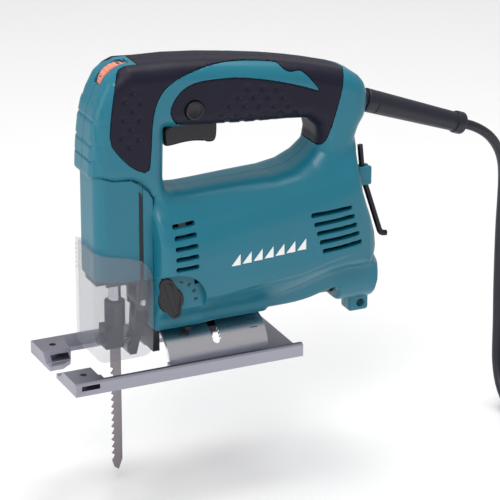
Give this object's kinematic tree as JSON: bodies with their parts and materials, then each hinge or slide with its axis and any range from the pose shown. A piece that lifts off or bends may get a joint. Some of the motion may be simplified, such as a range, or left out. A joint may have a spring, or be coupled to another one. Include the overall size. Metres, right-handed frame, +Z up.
{
  "type": "jigsaw power tool",
  "caption": "Top-handle corded jigsaw with a tilting shoe, clear blade guard, orbital lever, trigger, speed dial, motor and crank drive inside, strain relief, coiled lead and plug.",
  "frame": {"origin": "in the sole plane of the shoe, on the centre line of the blade", "axes": "+X from the blade back towards the cord, +Z up out of the sole, +Y across to the operator's right"},
  "size_m": [0.4145, 0.1066, 0.2833],
  "materials": {
    "shell": "satin moulded teal plastic",
    "grip": "soft black overmoulding with round dimples",
    "badge": "white print",
    "badge_dark": "dark filled engraving",
    "steel": "ground steel",
    "dark_steel": "blackened steel",
    "chrome": "polished",
    "aluminium": "die cast",
    "bronze": "sintered bronze",
    "lamination": "stacked laminations",
    "copper": "enamelled copper",
    "carbon": "carbon",
    "black_plastic": "fine textured black plastic",
    "fan_plastic": "glass-filled nylon",
    "rubber": "black rubber",
    "tie": "woven hook-and-loop tie",
    "blade_steel": "ground saw steel",
    "clear_plastic": "clear polycarbonate",
    "dial": "orange moulded plastic with white numbers",
    "shoe_metal": "cast and machined, satin"
  },
  "bodies": {
    "housing": {"housing_left": "shell", "housing_right": "shell", "nose_cover": "shell", "grip_left": "grip", "grip_right": "grip", "side_badges": "badge", "housing_screws": "steel", "gear_housing": "aluminium", "plunger_bushes": "bronze", "bearing_bracket": "aluminium", "gear_shaft": "steel", "front_bearing": "steel", "rear_bearing": "steel", "stator": "lamination", "field_coils": "copper", "brush_holders": "bronze", "carbon_brushes": "carbon", "switch_body": "black_plastic", "speed_module": "black_plastic", "dust_duct": "black_plastic", "saddle_bolt": "dark_steel", "saddle_clamp": "dark_steel", "chip_deflector": "black_plastic", "arm_pin": "steel", "hex_key": "dark_steel", "cord_guard": "rubber", "cord_clamp": "black_plastic", "cord": "rubber", "cord_coil": "rubber", "cord_tie": "tie", "plug_body": "rubber", "plug_pins": "chrome", "trigger_spring": "steel", "button_spring": "steel"},
    "armature": {"armature_shaft": "steel", "armature_core": "lamination", "armature_windings": "copper", "commutator": "copper", "cooling_fan": "fan_plastic"},
    "crank": {"crank_gear": "dark_steel", "gear_bush": "bronze", "crank_pin": "steel"},
    "plunger": {"plunger": "chrome", "yoke": "dark_steel", "blade_clamp": "dark_steel", "clamp_screw": "dark_steel", "blade": "blade_steel"},
    "roller_arm": {"roller_arm": "dark_steel"},
    "roller": {"roller": "steel"},
    "orbit_lever": {"orbit_lever": "black_plastic"},
    "trigger": {"trigger": "black_plastic"},
    "lock_button": {"lock_button": "black_plastic"},
    "speed_dial": {"speed_dial": "dial"},
    "guard": {"blade_guard": "clear_plastic"},
    "shoe": {"shoe": "shoe_metal", "shoe_saddle": "shoe_metal", "saddle_scale": "badge_dark"}
  },
  "joints": [
    {"name": "armature_spin", "type": "hinge", "parent": "housing", "child": "armature", "pos_m": [0.09, 0, 0.066], "axis": [1, 0, 0], "continuous": true},
    {"name": "crank_spin", "type": "hinge", "parent": "housing", "child": "crank", "pos_m": [0.0265, 0, 0.0894], "axis": [1, 0, 0], "continuous": true},
    {"name": "plunger_stroke", "type": "slide", "parent": "housing", "child": "plunger", "axis": [0, 0, 1], "range_m": [-0.009, 0.009]},
    {"name": "roller_arm_swing", "type": "hinge", "parent": "housing", "child": "roller_arm", "pos_m": [0.0155, 0, 0.042], "axis": [0, 1, 0], "range_deg": [0, 2]},
    {"name": "roller_spin", "type": "hinge", "parent": "roller_arm", "child": "roller", "pos_m": [0.0096, 0, 0.011], "axis": [0, 1, 0], "continuous": true},
    {"name": "orbit_lever_turn", "type": "hinge", "parent": "housing", "child": "orbit_lever", "pos_m": [0.028, -0.026, 0.047], "axis": [0, 1, 0], "range_deg": [-85, 0]},
    {"name": "trigger_pull", "type": "hinge", "parent": "housing", "child": "trigger", "pos_m": [0.036, 0, 0.159], "axis": [0, -1, 0], "range_deg": [0, 8], "stiffness_Nm_per_rad": 0.6, "springref_deg": -17.19, "deforming": ["trigger_spring"]},
    {"name": "lock_button_press", "type": "slide", "parent": "housing", "child": "lock_button", "axis": [0, 1, 0], "range_m": [0, 0.003], "stiffness_N_per_m": 400, "springref_m": -0.002},
    {"name": "speed_dial_turn", "type": "hinge", "parent": "housing", "child": "speed_dial", "pos_m": [0.0045, 0, 0.1852], "axis": [0, 1, 0], "range_deg": [0, 270]},
    {"name": "guard_slide", "type": "slide", "parent": "housing", "child": "guard", "axis": [0, 0, 1], "range_m": [0, 0.038]},
    {"name": "shoe_tilt", "type": "hinge", "parent": "housing", "child": "shoe", "pos_m": [0.03, 0, 0], "axis": [1, 0, 0], "range_deg": [-45, 45]}
  ],
  "couplings": [
    {"joint": "crank_spin", "follows": "armature_spin", "ratio": -0.18182}
  ]
}
